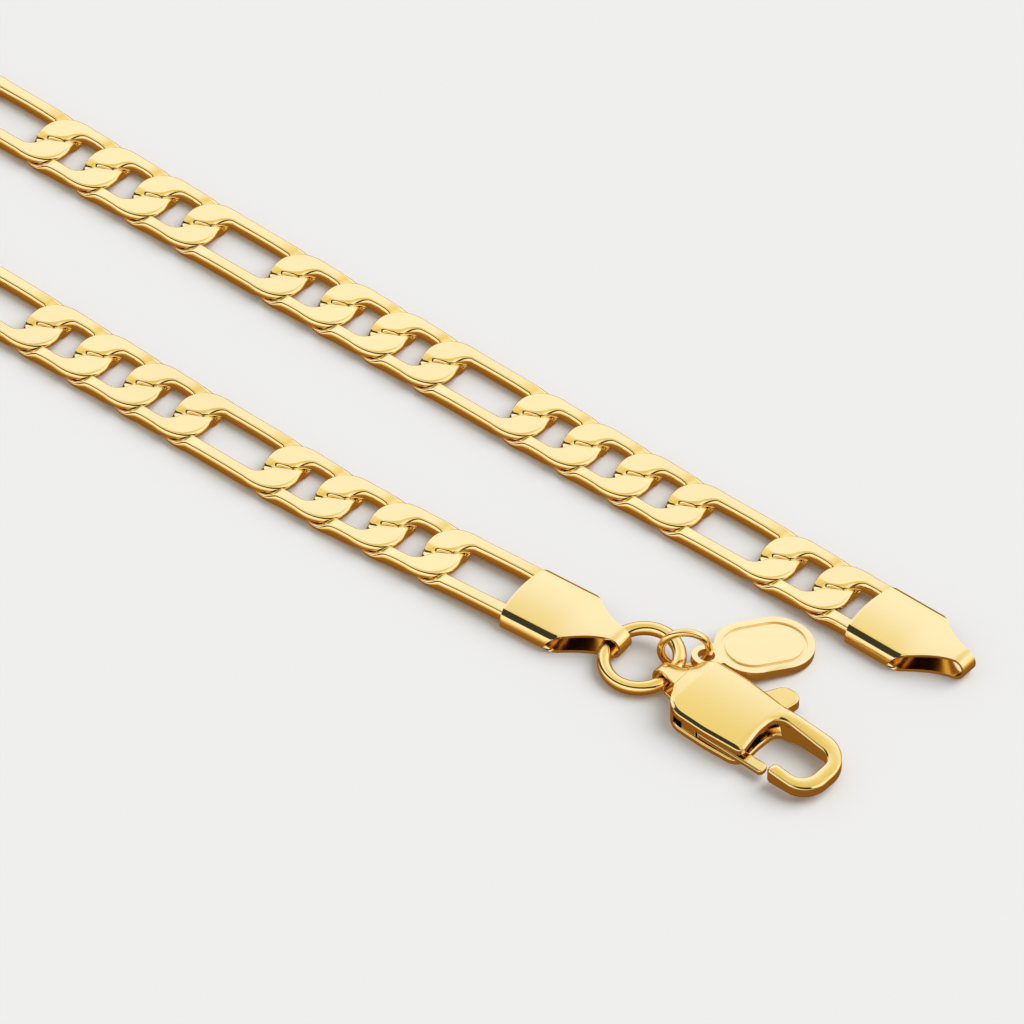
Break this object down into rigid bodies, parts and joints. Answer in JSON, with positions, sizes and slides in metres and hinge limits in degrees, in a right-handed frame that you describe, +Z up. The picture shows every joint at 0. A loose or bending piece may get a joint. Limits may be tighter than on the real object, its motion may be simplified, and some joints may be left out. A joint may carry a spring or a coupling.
{
  "type": "figaro chain necklace",
  "caption": "Figaro chain necklace laid flat as an open loop, with folded end caps, jump rings, a plain oval tag and a lobster clasp with a swinging gate.",
  "frame": {"origin": "middle of the footprint on the table; the table is z = 0", "axes": "+X from the loop's closed end to the two free ends, +Y from the clasp strand to the other strand, +Z up from the table"},
  "size_m": [0.2162, 0.0948, 0.0036],
  "materials": {
    "chain_free_half": "bright cut, gold plated",
    "chain_clasp_half": "bright cut, gold plated",
    "free_end_cap": "polished, gold plated",
    "clasp_end_cap": "polished, gold plated",
    "large_jump_ring": "polished, gold plated",
    "small_jump_ring": "polished, gold plated",
    "oval_tag": "satin, gold plated",
    "clasp_body": "polished, gold plated",
    "clasp_gate": "polished, gold plated",
    "clasp_pin": "polished, gold plated"
  },
  "bodies": {
    "necklace": {"chain_free_half": "chain_free_half", "chain_clasp_half": "chain_clasp_half", "free_end_cap": "free_end_cap", "clasp_end_cap": "clasp_end_cap", "large_jump_ring": "large_jump_ring", "small_jump_ring": "small_jump_ring", "oval_tag": "oval_tag", "clasp_body": "clasp_body", "clasp_pin": "clasp_pin"},
    "gate": {"clasp_gate": "clasp_gate"}
  },
  "joints": [
    {"name": "gate_swing", "type": "hinge", "parent": "necklace", "child": "gate", "pos_m": [0.0998, -0.00542, 0.0009], "axis": [0, 0, 1], "range_deg": [0, 20], "stiffness_Nm_per_rad": 0.004, "springref_deg": -28.65}
  ]
}
